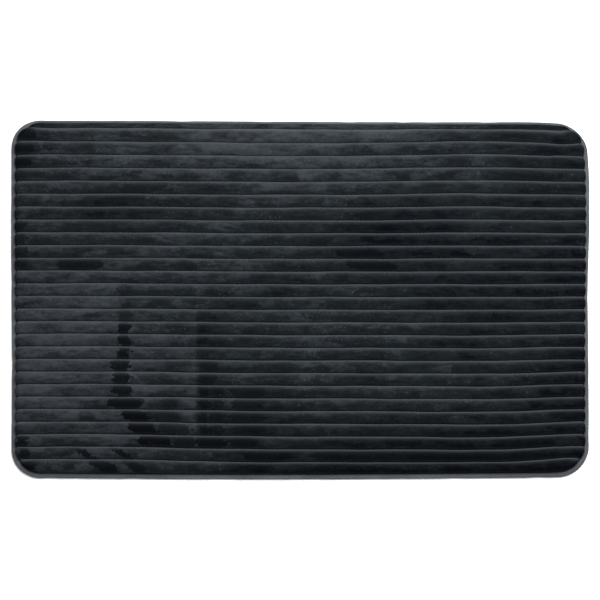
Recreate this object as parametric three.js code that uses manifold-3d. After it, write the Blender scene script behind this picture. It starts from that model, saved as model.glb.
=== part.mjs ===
// Bath mat: memory foam quilted into ribs under a plush cover, on a non-slip backing,
// with a bound edge all round. It lies flat and has no moving parts.
//
// Units are millimetres. +X runs along the ribs, +Y across them, +Z is up, and the origin is
// the centre of the underside. Every layer lies a small gap from its neighbour, where the
// real layers touch.

import * as THREE from 'three';
import { mergeVertices } from 'three/addons/utils/BufferGeometryUtils.js';
import Module from 'manifold-3d';

const wasm = await Module();
wasm.setup();

// ---- Outline ------------------------------------------------------------------------------
const MAT_LENGTH = 800;
const MAT_WIDTH = 500;
const CORNER_RADIUS = 43;

// ---- Cloth and foam thicknesses, from the floor up ------------------------------------------
const BINDING_CLOTH = 0.8;   // the folded tape round the edge
const BASE_CLOTH = 0.6;      // woven cloth that carries the grip layer
const SCRIM_CLOTH = 0.4;     // thin non-woven sheet that the quilting is sewn to
const FOAM_CROWN = 13.5;     // memory foam where a rib is highest
const COVER_CLOTH = 1.5;     // plush cover, with its pile pressed flat
const GAP = 0.3;             // left between two layers

// ---- Quilting -------------------------------------------------------------------------------
const SEAM_COUNT = 27;       // rows of stitching, so there is one rib more than this
const FIRST_SEAM_INSET = 13.4;  // back edge of the mat to the first seam
const LAST_SEAM_INSET = 22.3;   // front edge of the mat to the last seam
const RIB_RISE = 7;          // crown of a rib above the floor of the seams
const THREAD = 0.6;          // sewing thread as it lies on the cloth

// ---- Edge -----------------------------------------------------------------------------------
const BINDING_WIDTH = 6.5;   // how far the tape reaches in from the edge
const BINDING_SEAM_INSET = 4.6;  // edge of the mat to the middle of the binding's seam
const SHOULDER = 7;          // rounding where the ribs turn down to the binding

// ---- Facets ---------------------------------------------------------------------------------
const CORNER_FACETS = 4;     // per eighth of a turn
const RIB_FACETS = 3;        // per quarter of a rib's ellipse
const SHOULDER_FACETS = 2;
const OVERRUN = 5;           // how far a cutting shape passes through what it cuts

// ---- Heights that follow from the layers ----------------------------------------------------
const baseClothZ = BINDING_CLOTH + GAP;
const scrimZ = baseClothZ + BASE_CLOTH + GAP;
const foamZ = scrimZ + SCRIM_CLOTH + GAP;
const crownZ = foamZ + FOAM_CROWN + GAP + COVER_CLOTH;
const seamFloorZ = crownZ - RIB_RISE;
const flangeTopZ = foamZ + COVER_CLOTH;
const bindingTopZ = flangeTopZ + GAP + BINDING_CLOTH;

// ---- Insets from the mat's edge that follow from the layers ---------------------------------
const layerInset = BINDING_CLOTH + GAP;
const skirtInset = BINDING_WIDTH + GAP;
const cavityInset = skirtInset + COVER_CLOTH;
const foamInset = cavityInset + GAP;

// ---- Quilting pattern -----------------------------------------------------------------------
const seamPitch = (MAT_WIDTH - FIRST_SEAM_INSET - LAST_SEAM_INSET) / (SEAM_COUNT - 1);
const seamFloorWidth = THREAD + 2 * GAP;
const ribHalfWidth = (seamPitch - seamFloorWidth) / 2;
const seamY = (index) => MAT_WIDTH / 2 - FIRST_SEAM_INSET - index * seamPitch;

// ---- Finishes -------------------------------------------------------------------------------
const plush = { color: 0x3a3f45, roughness: 1, metalness: 0 };
const tape = { color: 0x5f646a, roughness: 0.95, metalness: 0 };
const foam = { color: 0xe9e4d2, roughness: 0.9, metalness: 0 };
const nonWoven = { color: 0xe6e6e4, roughness: 0.95, metalness: 0 };
const gripCloth = { color: 0x2c2e31, roughness: 0.7, metalness: 0 };
const thread = { color: 0x4a4e54, roughness: 0.6, metalness: 0 };

// Corner radius that is left at this inset from the mat's edge.
const radiusAt = (inset) => Math.max(CORNER_RADIUS - inset, GAP);

// The mat's rounded rectangle, drawn this far in from its edge.
function outline(inset, PathType = THREE.Shape) {
  const radius = radiusAt(inset);
  const x = MAT_LENGTH / 2 - inset - radius;
  const y = MAT_WIDTH / 2 - inset - radius;
  return new PathType()
    .moveTo(x, -y - radius)
    .absarc(x, -y, radius, -Math.PI / 2, 0)
    .absarc(x, y, radius, 0, Math.PI / 2)
    .absarc(-x, y, radius, Math.PI / 2, Math.PI)
    .absarc(-x, -y, radius, Math.PI, Math.PI * 3 / 2)
    .closePath();
}

// Half the length of that rounded rectangle along a line at this y.
function halfLengthAt(y, inset) {
  const radius = radiusAt(inset);
  const pastCorner = Math.max(Math.abs(y) - (MAT_WIDTH / 2 - inset - radius), 0);
  return MAT_LENGTH / 2 - inset - radius + Math.sqrt(radius ** 2 - pastCorner ** 2);
}

// A plate with the mat's outline, from one height to another.
function plate(inset, fromZ, toZ) {
  const options = { depth: toZ - fromZ, bevelEnabled: false, curveSegments: CORNER_FACETS };
  return new THREE.ExtrudeGeometry(outline(inset), options).translate(0, 0, fromZ);
}

// A flat ring with the mat's outline, between two insets.
function ring(outerInset, innerInset, fromZ, toZ) {
  const shape = outline(outerInset);
  shape.holes.push(outline(innerInset, THREE.Path));
  const options = { depth: toZ - fromZ, bevelEnabled: false, curveSegments: CORNER_FACETS };
  return new THREE.ExtrudeGeometry(shape, options).translate(0, 0, fromZ);
}

// A plate whose upper edge is rounded off, as the ribs' ends are. Its lower edge is rounded
// too, below fromZ, where the shape it is joined with cuts it away.
function pillow(inset, fromZ, toZ) {
  const options = {
    depth: toZ - fromZ - SHOULDER,
    bevelThickness: SHOULDER,
    bevelSize: SHOULDER,
    bevelOffset: -SHOULDER,
    bevelSegments: SHOULDER_FACETS,
    curveSegments: CORNER_FACETS,
  };
  return new THREE.ExtrudeGeometry(outline(inset), options).translate(0, 0, fromZ);
}

// A block with every rib of the mat along its top, longer and wider than the mat. halfWidth
// is half of one rib, and the floor between two ribs is level.
function ribbedBlock(halfWidth, bottomZ, floorZ, topZ) {
  const ribY = (index) => seamY(index) + seamPitch / 2;
  const outermostY = ribY(0) + seamPitch / 2 + OVERRUN;
  const innermostY = ribY(SEAM_COUNT) - seamPitch / 2 - OVERRUN;
  const section = new THREE.Shape().moveTo(outermostY, bottomZ).lineTo(outermostY, floorZ);
  for (let index = 0; index <= SEAM_COUNT; index += 1) {
    section.lineTo(ribY(index) + halfWidth, floorZ);
    section.absellipse(ribY(index), floorZ, halfWidth, topZ - floorZ, 0, Math.PI);
  }
  section.lineTo(innermostY, floorZ).lineTo(innermostY, bottomZ).closePath();

  const length = MAT_LENGTH + 2 * OVERRUN;
  const options = { depth: length, bevelEnabled: false, curveSegments: RIB_FACETS };
  const alongX = new THREE.Matrix4().makeBasis(
    new THREE.Vector3(0, 1, 0),
    new THREE.Vector3(0, 0, 1),
    new THREE.Vector3(1, 0, 0),
  );
  return new THREE.ExtrudeGeometry(section, options)
    .applyMatrix4(alongX)
    .translate(-length / 2, 0, 0);
}

function toSolid(geometry) {
  const bare = geometry.clone();
  bare.deleteAttribute('normal');
  bare.deleteAttribute('uv');
  const merged = mergeVertices(bare, 1e-4);
  return new wasm.Manifold(new wasm.Mesh({
    numProp: 3,
    vertProperties: new Float32Array(merged.attributes.position.array),
    triVerts: new Uint32Array(merged.index.array),
  }));
}

function toGeometry(solid) {
  const mesh = solid.getMesh();
  const geometry = new THREE.BufferGeometry();
  geometry.setAttribute('position', new THREE.BufferAttribute(mesh.vertProperties, 3));
  geometry.setIndex(new THREE.BufferAttribute(mesh.triVerts, 1));
  geometry.computeVertexNormals();
  return geometry;
}

function mesh(name, geometry, finish) {
  const piece = new THREE.Mesh(geometry, new THREE.MeshStandardMaterial(finish));
  piece.name = name;
  return piece;
}

// Woven cloth with a moulded grip layer under it. The grip layer stops at the binding, and
// the bare cloth runs on into it.
function gripBacking() {
  const cloth = toSolid(plate(layerInset, baseClothZ, baseClothZ + BASE_CLOTH));
  const grip = toSolid(plate(skirtInset, 0, baseClothZ + BASE_CLOTH));
  return mesh('grip_backing', toGeometry(cloth.add(grip)), gripCloth);
}

// Sheet under the foam that holds the quilting stitches.
function quiltScrim() {
  return mesh('quilt_scrim', plate(layerInset, scrimZ, scrimZ + SCRIM_CLOTH), nonWoven);
}

// One sheet of memory foam, pulled down to part of its thickness along every seam.
function memoryFoamCore() {
  const under = COVER_CLOTH + GAP;
  const ribs = toSolid(ribbedBlock(ribHalfWidth - under, foamZ, seamFloorZ - under, crownZ - under));
  const body = toSolid(pillow(foamInset, foamZ, crownZ - under));
  return mesh('memory_foam_core', toGeometry(ribs.intersect(body)), foam);
}

// Plush cover: a ribbed skin over the foam, open underneath, with a flat flange all round
// that is caught in the binding.
function topCover() {
  const skin = toSolid(ribbedBlock(ribHalfWidth, foamZ, seamFloorZ, crownZ))
    .intersect(toSolid(pillow(skirtInset, foamZ, crownZ)));
  const flange = toSolid(plate(layerInset, foamZ, flangeTopZ));
  const tunnels = toSolid(ribbedBlock(
    ribHalfWidth - COVER_CLOTH,
    foamZ - OVERRUN,
    seamFloorZ - COVER_CLOTH,
    crownZ - COVER_CLOTH,
  ));
  const cavity = tunnels.intersect(toSolid(pillow(cavityInset, foamZ - OVERRUN, crownZ - COVER_CLOTH)));
  return mesh('top_cover', toGeometry(skin.add(flange).subtract(cavity)), plush);
}

// Tape folded over the edges of the backing, the scrim and the cover.
function edgeBinding() {
  const folded = toSolid(ring(0, BINDING_WIDTH, 0, bindingTopZ));
  const slotFrom = BINDING_CLOTH;
  const slotTo = bindingTopZ - BINDING_CLOTH;
  const slot = toSolid(ring(BINDING_CLOTH, BINDING_WIDTH + OVERRUN, slotFrom, slotTo));
  return mesh('edge_binding', toGeometry(folded.subtract(slot)), tape);
}

// Row of stitching that holds the binding, on its upper side.
function bindingStitch() {
  const fromZ = bindingTopZ + GAP;
  const outer = BINDING_SEAM_INSET - THREAD / 2;
  return mesh('binding_stitch', ring(outer, outer + THREAD, fromZ, fromZ + THREAD), thread);
}

// Row of quilting stitches that lies on the floor between two ribs, as long as that floor.
function channelStitch(index) {
  const half = halfLengthAt(Math.abs(seamY(index)) + THREAD / 2, skirtInset) - GAP;
  const bar = new THREE.BoxGeometry(2 * half, THREAD, THREAD);
  const piece = mesh(`channel_stitch_${String(index + 1).padStart(2, '0')}`, bar, thread);
  piece.position.set(0, seamY(index), seamFloorZ + GAP + THREAD / 2);
  return piece;
}

const bathMat = new THREE.Group();
bathMat.name = 'bath_mat';
bathMat.add(gripBacking(), quiltScrim(), memoryFoamCore(), topCover(), edgeBinding(), bindingStitch());
for (let index = 0; index < SEAM_COUNT; index += 1) {
  bathMat.add(channelStitch(index));
}

export default bathMat;
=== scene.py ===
# %% [markdown]
# # A quilted bath mat, from a measured frame
#
# The object is a memory foam bath mat: one sheet of foam, quilted into long ribs under a dark
# plush cover, with a lighter tape bound round the edge and a non-slip backing. Its measured
# parts come first, as a frame that stays where it is. Everything below is built round that
# frame, in metres, and rides on its one body.

# %% Load the frame
import math

import bpy
import numpy as np
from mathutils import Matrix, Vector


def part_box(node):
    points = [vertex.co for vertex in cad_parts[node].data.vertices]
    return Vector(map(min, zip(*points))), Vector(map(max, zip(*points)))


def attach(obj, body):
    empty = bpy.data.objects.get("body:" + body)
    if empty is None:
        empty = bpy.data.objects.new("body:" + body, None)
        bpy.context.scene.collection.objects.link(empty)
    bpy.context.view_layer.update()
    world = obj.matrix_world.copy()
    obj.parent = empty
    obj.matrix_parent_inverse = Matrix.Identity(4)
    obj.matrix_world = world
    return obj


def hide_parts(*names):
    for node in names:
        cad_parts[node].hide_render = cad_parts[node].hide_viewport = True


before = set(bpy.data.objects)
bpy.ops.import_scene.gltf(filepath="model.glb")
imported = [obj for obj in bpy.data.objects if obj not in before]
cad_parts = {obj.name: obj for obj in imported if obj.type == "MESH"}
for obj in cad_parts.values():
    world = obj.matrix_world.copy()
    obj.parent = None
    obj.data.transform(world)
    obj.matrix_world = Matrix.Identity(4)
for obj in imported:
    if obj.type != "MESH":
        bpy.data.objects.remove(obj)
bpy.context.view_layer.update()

BODY = "root"
MM = 0.001

# %% [markdown]
# ## The outline
#
# The mat is a rectangle with rounded corners. Two questions come up for every piece: how far
# does a point lie in from the edge, and which way is straight out? One function answers both.
# The frame's boxes give the sizes; only the corner's radius isn't a box size.

# %% Outline
EDGE_HIGH = np.array(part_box("edge_binding")[1])
HALF_LENGTH, HALF_WIDTH = EDGE_HIGH[0], EDGE_HIGH[1]
CORNER_RADIUS = 43 * MM


def inset_and_outward(x, y):
    """How far points lie in from the mat's edge, and the unit vector straight out from them."""
    past_x = np.abs(x) - (HALF_LENGTH - CORNER_RADIUS)
    past_y = np.abs(y) - (HALF_WIDTH - CORNER_RADIUS)
    reach = np.hypot(np.maximum(past_x, 0), np.maximum(past_y, 0))
    inset = CORNER_RADIUS - reach - np.minimum(np.maximum(past_x, past_y), 0)
    nearer_end = past_x > past_y
    out_x = np.where(reach > 0, np.maximum(past_x, 0) / np.maximum(reach, 1e-9), nearer_end)
    out_y = np.where(reach > 0, np.maximum(past_y, 0) / np.maximum(reach, 1e-9), ~nearer_end)
    return inset, out_x * np.sign(x), out_y * np.sign(y)


def half_length_at(y, inset):
    """Half the length, along X, of the outline that lies this far in from the edge."""
    radius = CORNER_RADIUS - inset
    past = np.clip(np.abs(y) - (HALF_WIDTH - CORNER_RADIUS), 0, radius)
    return HALF_LENGTH - CORNER_RADIUS + np.sqrt(radius ** 2 - past ** 2)


print("outline", round(2 * HALF_LENGTH / MM, 1), "x", round(2 * HALF_WIDTH / MM, 1), "mm")

# %% [markdown]
# ## Cut by hand
#
# A drawn outline is the same at all four corners and dead straight between them, and a sewn one
# isn't. Here each corner is a little rounder or squarer than drawn, and the edges bow by a
# millimetre or two. Every piece is made on the drawn outline and then passes through this one
# function, so that the layers stay together however much it moves them.

# %% Corners and edges as cut
def smoothstep(low, high, value):
    """0 up to low, 1 from high on, and a soft S between them."""
    share = np.clip((value - low) / (high - low), 0, 1)
    return share * share * (3 - 2 * share)


# For each corner, by the signs of x and y: how far its middle lies outside the drawn curve,
# and how far along the edge that reaches, in mm.
CORNER_TRIM = {(-1, 1): (2.6, 24), (1, 1): (-3.6, 44), (-1, -1): (1.2, 26), (1, -1): (-1.5, 34)}
CORNER_MIDDLE = np.array([HALF_LENGTH, HALF_WIDTH]) - CORNER_RADIUS * (1 - math.sqrt(0.5))
EDGE_BAND = 70 * MM


def right_hollow(y):
    """How hollow the right edge is at this place, from 0 to 1."""
    return np.exp(-((y - 15 * MM) / (70 * MM)) ** 2)


def as_cut(points):
    """The same points on the mat as it is cut and sewn by hand: each corner a little rounder
    or squarer than drawn, and the edges bowed by a millimetre or so."""
    x, y = points[:, 0], points[:, 1]
    inset, out_x, out_y = inset_and_outward(x, y)
    out_by = np.zeros_like(x)
    for signs, (trim, reach) in CORNER_TRIM.items():
        middle_x, middle_y = CORNER_MIDDLE * signs
        off = np.hypot(x - middle_x, y - middle_y) / (reach * MM)
        out_by += trim * MM * np.exp(-off ** 2)
    near_edge = smoothstep(EDGE_BAND, 0, inset)
    # How far out each edge bows, and over which length of it.
    back = -1.0 * MM * np.sin((x + 80 * MM) / (178 * MM)) * np.maximum(out_y, 0)
    front = (1.8 * np.cos((x + 49 * MM) / (200 * MM)) - 0.9) * MM * np.maximum(-out_y, 0)
    sway = np.sin(y / (75 * MM))
    right = (0.95 * sway - 2.0 * right_hollow(y)) * MM * np.maximum(out_x, 0)
    left = 0.8 * sway * MM * np.maximum(-out_x, 0)
    out_by = out_by + near_edge * (back + front + right + left)
    moved = points.copy()
    moved[:, 0] += out_x * out_by
    moved[:, 1] += out_y * out_by
    return moved


middles = as_cut(np.array([[HALF_LENGTH, 0, 0], [0, HALF_WIDTH, 0], [-HALF_LENGTH, 0, 0],
                           [0, -HALF_WIDTH, 0]]))
print("middles of the edges, as cut:", np.round(middles[:, :2] / MM, 1).tolist())

# %% [markdown]
# ## The seams
#
# The ribs are made by 27 straight rows of stitching. Cloth creeps under the presser foot, so
# on the real mat the rows aren't quite straight: they bow by a few millimetres, towards the
# back at the left end and together at the right end. Straight lines would look like moulded
# rubber. The drift is a sum of a few smooth shapes, plus a small wander of each row's own.

# %% Seam lines
seam_names = sorted(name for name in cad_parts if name.startswith("channel_stitch_"))
seam_boxes = [np.array(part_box(name)) for name in seam_names]
SEAM_Y = np.array([box[:, 1].mean() for box in seam_boxes])
SEAM_FLOOR = seam_boxes[0][0][2]
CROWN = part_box("top_cover")[1][2]
PITCH = (SEAM_Y[0] - SEAM_Y[-1]) / (len(SEAM_Y) - 1)
random_rows = np.random.RandomState(27)
wander_phase = random_rows.uniform(0, 2 * math.pi, (len(SEAM_Y), 3))
WANDER_LENGTHS = np.array([210, 120, 64]) * MM
WANDER_SIZES = np.array([0.22, 0.14, 0.1]) * MM


def seam_drift(x, y):
    """How far the cloth at this place has crept towards the back of the mat. The row nearest
    the back is sewn along the edge, so it hardly creeps."""
    back = y / HALF_WIDTH        # 1 at the back edge, -1 at the front edge
    bow = -(2.2 + 1.3 * back) * (1 - back ** 2) * MM
    left = (1.7 - 1.1 * back + 1.3 * back ** 2) * MM * smoothstep(20 * MM, 300 * MM, -x)
    hump = (2.4 * back + 1.3 * back ** 2) * MM * np.exp(-((x - 230 * MM) / (100 * MM)) ** 2)
    right = (0.9 - 2.5 * back + 1.6 * back ** 2) * MM * smoothstep(270 * MM, 395 * MM, x)
    return (bow + left + hump + right) * (1 - 0.85 * smoothstep(0.88, 0.94, back))


def seam_wander(index, x):
    """The small wander of one row of stitching."""
    index = np.clip(index, 0, len(SEAM_Y) - 1)
    return sum(size * np.sin(2 * math.pi * x / length + wander_phase[index, k])
               for k, (size, length) in enumerate(zip(WANDER_SIZES, WANDER_LENGTHS)))


print(len(SEAM_Y), "seams,", round(PITCH / MM, 2), "mm apart, floor at", round(SEAM_FLOOR / MM, 2))

# %% [markdown]
# ## The quilted surface
#
# Ribs could be modelled one by one, but then they would meet in gaps. Here the whole top is one
# grid of points whose rows follow the ribs. The rows crowd together at the creases, where the
# shape turns sharply. That gives a crisp crease with far fewer points than an even grid.

# %% Rows across the ribs
def rib_rows(per_rib, per_end_rib, clearance):
    """Rows of the grid: for each, its rib's number and its place across it, from 0 at the
    rib's back seam to 1 at its front seam."""
    count = len(SEAM_Y) + 1
    spread = (1 - np.cos(np.linspace(0, math.pi, per_rib + 1))) / 2
    eased = smoothstep(0, 1, np.linspace(0, 1, per_end_rib + 1))
    rows = []
    for rib in range(count):
        steps = eased if rib in (0, count - 1) else spread
        low, high = (0 if rib == 0 else clearance), (1 if rib == count - 1 else 1 - clearance)
        rows += [(rib, low + (high - low) * step) for step in steps]
        if clearance == 0 and rib < count - 1:
            rows.pop()
    return np.array([r for r, _ in rows]), np.array([t for _, t in rows])


print(len(rib_rows(9, 15, 0)[0]), "rows of points across", len(SEAM_Y) + 1, "ribs")

# %% [markdown]
# ## The hem
#
# All round the mat the ribs turn down to the binding and bulge over it, most at the middle of a
# rib and not at all at a seam, which scallops the ends. How much tape is left in view also
# differs from side to side, because it was fed round the edge by hand.

# %% Hem
SHOULDER = 8 * MM            # how far in from the edge a rib starts to turn down
BULGE_HEIGHT = 8.6 * MM      # where the turned-down end reaches furthest out
HEM = 7.6 * MM               # binding left in view, at a seam
SCALLOP = 3.6 * MM           # how much further out the middle of a rib reaches


def hem_width(out_x, out_y, y, fullness):
    """How much of the binding is in view: more at the front and the left, and least at the
    back right corner."""
    back, front = np.maximum(out_y, 0), np.maximum(-out_y, 0)
    right, left = np.maximum(out_x, 0), np.maximum(-out_x, 0)
    side = 3.2 * front - 0.2 * back + 0.7 * left - 4.0 * back * right
    side = side + (0.6 - 1.7 * right_hollow(y)) * right
    return HEM + side * MM - SCALLOP * fullness


for side, way_x, way_y in (("back", 0, 1), ("right", 1, 0), ("front", 0, -1), ("left", -1, 0)):
    print("tape in view at the", side, np.round(hem_width(way_x, way_y, 0, 0) / MM, 1), "mm")

# %% [markdown]
# ## The grid over the mat
#
# The rows run along the drifting seams, and end on the rounded outline. A row's end depends on
# how far forward it lies there, and that depends in turn on the drift at its end, so the two
# are worked out in turns until they agree. Four turns are plenty.

# %% Grid over the mat
AGREEING_TURNS = 4


def quilt_places(rib, across, columns, per_end, edge):
    """Where the rows' points lie, and how far each is from its nearest seam. The rows end this
    far in from the mat's edge, and the last points of each lie closer together."""
    middle = np.linspace(-1, 1, columns - 2 * per_end)
    reach = 1 - 1.25 * SHOULDER / HALF_LENGTH
    end = reach + (1 - reach) * np.sin(np.linspace(0, math.pi / 2, per_end + 1))[1:]
    along = np.concatenate([-end[::-1], middle * reach, end])[None, :]

    back_edge, front_edge = HALF_WIDTH - edge, -HALF_WIDTH + edge
    seams_and_edges = np.concatenate([[back_edge], SEAM_Y, [front_edge]])
    y_back, y_front = seams_and_edges[rib][:, None], seams_and_edges[rib + 1][:, None]
    share = across[:, None]
    x = along * half_length_at(y_back + (y_front - y_back) * share, edge)
    for _ in range(AGREEING_TURNS):
        drift_back = seam_drift(x, y_back) + seam_wander(rib[:, None] - 1, x)
        drift_front = seam_drift(x, y_front) + seam_wander(rib[:, None], x)
        drift_back = np.where(rib[:, None] == 0, 0, drift_back)
        drift_front = np.where(rib[:, None] == len(SEAM_Y), 0, drift_front)
        y = (y_back + drift_back) * (1 - share) + (y_front + drift_front) * share
        x = along * half_length_at(y, edge)

    from_seam = np.minimum(share * (y_back - y_front), (1 - share) * (y_back - y_front))
    from_seam = np.where(rib[:, None] == 0, (1 - share) * (y_back - y_front), from_seam)
    from_seam = np.where(rib[:, None] == len(SEAM_Y), share * (y_back - y_front), from_seam)
    return x, y, from_seam


creep = seam_drift(np.array([-1, 0, 1]) * (HALF_LENGTH - SHOULDER), np.zeros(3))
print("the middle row creeps by", np.round(creep / MM, 1).tolist(), "mm at its left, middle and right")

# %% [markdown]
# ## The height of the ribs
#
# Across a rib the cloth stands almost upright beside the seam, then rounds over the crown, as
# foam under tension does. A superellipse gives that with one number. Each rib also swells and
# sinks a little along its length, by half a millimetre or so.

# %% Quilted surface
RIB_SQUARENESS = 2.15        # 2 is an ellipse, higher is boxier
SHORT_SWELL, LONG_SWELL = 37 * MM, 83 * MM


def quilt(per_rib, per_end_rib, columns, per_end, skin=0.0):
    """Points of the quilted surface, a distance skin under its outer face. Returns arrays of
    x, y, z, each point's rib and its place across the rib."""
    rib, across = rib_rows(per_rib, per_end_rib, skin / PITCH)
    edge = HEM + skin
    x, y, from_seam = quilt_places(rib, across, columns, per_end, edge)
    half_rib = PITCH / 2 - skin
    off_crown = np.clip(1 - (from_seam - skin) / half_rib, 0, 1)
    crown_share = (1 - off_crown ** RIB_SQUARENESS) ** (1 / RIB_SQUARENESS)

    swell = np.sin(x / SHORT_SWELL + 2.1 * rib[:, None]) * np.sin(x / LONG_SWELL + 1.3 * rib[:, None])
    full = CROWN - skin - (0.7 + 0.3 * swell) * MM
    top = SEAM_FLOOR - skin + (full - SEAM_FLOOR + skin) * crown_share

    inset, out_x, out_y = inset_and_outward(x, y)
    turn = np.clip(1 - (inset - edge) / SHOULDER, 0, 1) * math.pi / 2
    hem = hem_width(out_x, out_y, y, 1 - off_crown ** 3) + skin
    wanted = hem + (edge + SHOULDER - hem) * (1 - np.sin(turn))
    shift = np.where(turn > 0, inset - wanted, 0)
    z = np.where(turn > 0, BULGE_HEIGHT + (top - BULGE_HEIGHT) * np.cos(turn), top)
    return x + out_x * shift, y + out_y * shift, z, rib, across[:, None] + 0 * x


print("a rib is", round(PITCH / MM, 1), "mm wide and", round((CROWN - SEAM_FLOOR) / MM, 1), "mm high")

# %% [markdown]
# ## How the pile lies
#
# Plush shows every touch. Over wide areas the pile leans one way or another, and looks paler
# or darker for it. The widest areas also paint a fall of light over the mat: paler at the back
# middle and the left, darker at the right end and the front right. Each area is a soft oval,
# listed one by one as a painter would lay it with a soft brush. Across them runs one straight
# line where the mat was folded in its box, painted as light on its left and as shade on its right.

# %% Brushed areas
# (middle along and across the mat, half length and half width, all in mm, and how much paler)
# painted light: besides leaning pile, the widest areas paint a fall of light, paler at the back middle
# and the left, darker at the right end and the front right
BRUSHED_AND_PAINTED_LIGHT_AREAS = [
    (-350, -100, 190, 140, 0.34),
    (-20, 225, 210, 80, 0.36),
    (120, 90, 100, 45, -0.40),
    (400, -20, 150, 330, -0.32),
    (200, -225, 280, 55, -0.34),
    (-240, 130, 90, 30, -0.22),
    (110, -95, 90, 50, -0.10),
    (190, 0, 70, 45, -0.20),
]
FOLD_PLACE = -142            # mm along the mat
FOLD_PAINTED_LIGHT, FOLD_PAINTED_SHADE = 0.16, 0.2


def paleness(x, y):
    """How pale the pile looks over a wide area, with a painted fall of light and the painted light and
    shade of the fold, from 0 to 1 about a middle of 0.5.
    """
    level = np.full_like(x, 0.5)
    for along, across, half_length, half_width, change in BRUSHED_AND_PAINTED_LIGHT_AREAS:
        off = ((x / MM - along) / half_length) ** 2 + ((y / MM - across) / half_width) ** 2
        level += change * np.exp(-off)
    # painted light and shade of the fold crease: paler on its left, darker on its right
    off_fold = x / MM - FOLD_PLACE
    fold_shaded = smoothstep(-2, 2, off_fold) * smoothstep(60, 0, off_fold)
    fold_lit = smoothstep(2, -2, off_fold) * smoothstep(-35, -5, off_fold)
    on_fold = smoothstep(0, -40, y / MM) * smoothstep(-210, -190, y / MM)
    level += (FOLD_PAINTED_LIGHT * fold_lit - FOLD_PAINTED_SHADE * fold_shaded) * on_fold
    return np.clip(level, 0, 1)


print(len(BRUSHED_AND_PAINTED_LIGHT_AREAS), "brushed areas and a fold at", FOLD_PLACE, "mm")

# %% [markdown]
# ## Marks in the pile
#
# A mat that has been folded and stood on keeps short dark marks, often one under another on
# several ribs, because the fold or the foot crossed them all. Each mark is a dash that stays
# within its own rib, because the seams hold the pile apart. Where a mark moves along from rib
# to rib, it slants within each rib too. Three marks at the left end are painted shade instead:
# they darken the ends of their ribs where these turn down.

# %% Pressed marks, and painted shade at the left rib ends
# (along the mat in mm, first rib, last rib, half length in mm, drift per rib in mm, strength)
PRESSED_AND_SHADE_MARKS = [
    (-243, 13, 15, 9, 0, 0.3),
    (-244, 16, 18, 9, 0, 0.9),
    (-249, 19, 21, 13, 1, 0.85),
    (-242, 22, 22, 25, 0, 0.9),
    (-182, 22, 22, 10, 0, 0.45),
    (-229, 23, 24, 20, 11, 1.0),
    (-189, 23, 24, 22, 14, 0.5),
    (-201, 25, 25, 24, 0, 1.0),
    (-161, 25, 25, 18, 0, 0.75),
    (-123, 25, 25, 22, 0, 0.95),
    (-78, 25, 25, 21, 0, 0.85),
    (-46, 26, 26, 34, 0, 0.85),
    (-127, 19, 20, 12, 0, 0.5),
    (-134, 21, 24, 7, 0, 0.8),
    (-114, 21, 24, 8, 0, 0.65),
    (-73, 21, 24, 25, 0, 0.65),
    (-56, 27, 27, 19, 0, 0.6),
    (170, 26, 26, 163, 0, 0.75),
    (52, 27, 27, 33, 0, 0.6),
    (302, 25, 25, 31, 0, 0.7),
    (80, 10, 11, 35, 18, 0.8),
    (-308, 11, 11, 33, 0, 0.7),
    (-216, 5, 6, 30, -35, 0.4),
    # painted shade: this mark and the next darken the left ends of ribs 0 to 3 and 8 to 11, where they
    # turn down
    (-378, 0, 3, 13, -2, 0.8),
    (-388, 8, 11, 9, 1, 0.6),
    (-300, 26, 26, 8, 25, 0.85),
    (-273, 27, 27, 15, 25, 0.85),
    (-248, 26, 26, 8, 25, 0.85),
    (-230, 27, 27, 12, 25, 0.7),
    # painted shade: the left ends of ribs 25 to 27, where they turn down
    (-386, 25, 27, 8, 5, 0.8),
]
MARK_SOFTNESS = 16           # mm from outside a mark to well inside it


def pressed_and_shade_field(x, rib, across):
    """For each point, 0.5 on the rim of the nearest mark and 1 well inside, and the strength of
    that mark. A mark is longest at the middle of its rib."""
    field, strength = np.zeros_like(x), np.zeros_like(x)
    for along, first, last, half, drift, force in PRESSED_AND_SHADE_MARKS:
        off = np.abs(x / MM - along - drift * (rib + across - first - 0.5))
        depth = half * np.sqrt(1 - 3 * (across - 0.5) ** 2) - off
        here = np.clip(0.5 + depth / MARK_SOFTNESS, 0, 1) * ((rib >= first) & (rib <= last))
        strength = np.where(here > field, force, strength)
        field = np.maximum(field, here)
    return field, strength


print(len(PRESSED_AND_SHADE_MARKS), "marks over", sum(mark[2] - mark[1] + 1 for mark in PRESSED_AND_SHADE_MARKS), "ribs")

# %% [markdown]
# ## Making a mesh
#
# Blender can build a mesh from a list of points and a list of faces. Cloth and foam are both
# sheets, so most pieces here start as a grid of points, and only the heights differ. Doing the
# sums with numpy keeps a fine grid quick to build. Each piece is put on the mat's body as soon
# as it is made, and says how large it came out.

# %% Mesh helpers
def make_piece(name, points, *blocks_of_faces):
    """An object made of these points and faces, which rides on the mat's body. Each block of
    faces is an array whose faces have the same number of corners."""
    mesh = bpy.data.meshes.new(name)
    faces = [face for block in blocks_of_faces for face in block.tolist()]
    mesh.from_pydata(as_cut(np.asarray(points)).tolist(), [], faces)
    mesh.validate()
    mesh.polygons.foreach_set("use_smooth", [True] * len(mesh.polygons))
    piece = bpy.data.objects.new(name, mesh)
    bpy.context.scene.collection.objects.link(piece)
    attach(piece, BODY)
    return piece


def grid_faces(rows, columns, closed=False):
    """Quads between the points of a grid that is numbered row by row. A closed grid joins its
    last column to its first."""
    row = np.arange(rows - 1)[:, None] * columns
    column = np.arange(columns if closed else columns - 1)[None, :]
    following = (column + 1) % columns
    corners = (row + column, row + following, row + columns + following, row + columns + column)
    return np.stack(corners, axis=-1).reshape(-1, 4)


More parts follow.
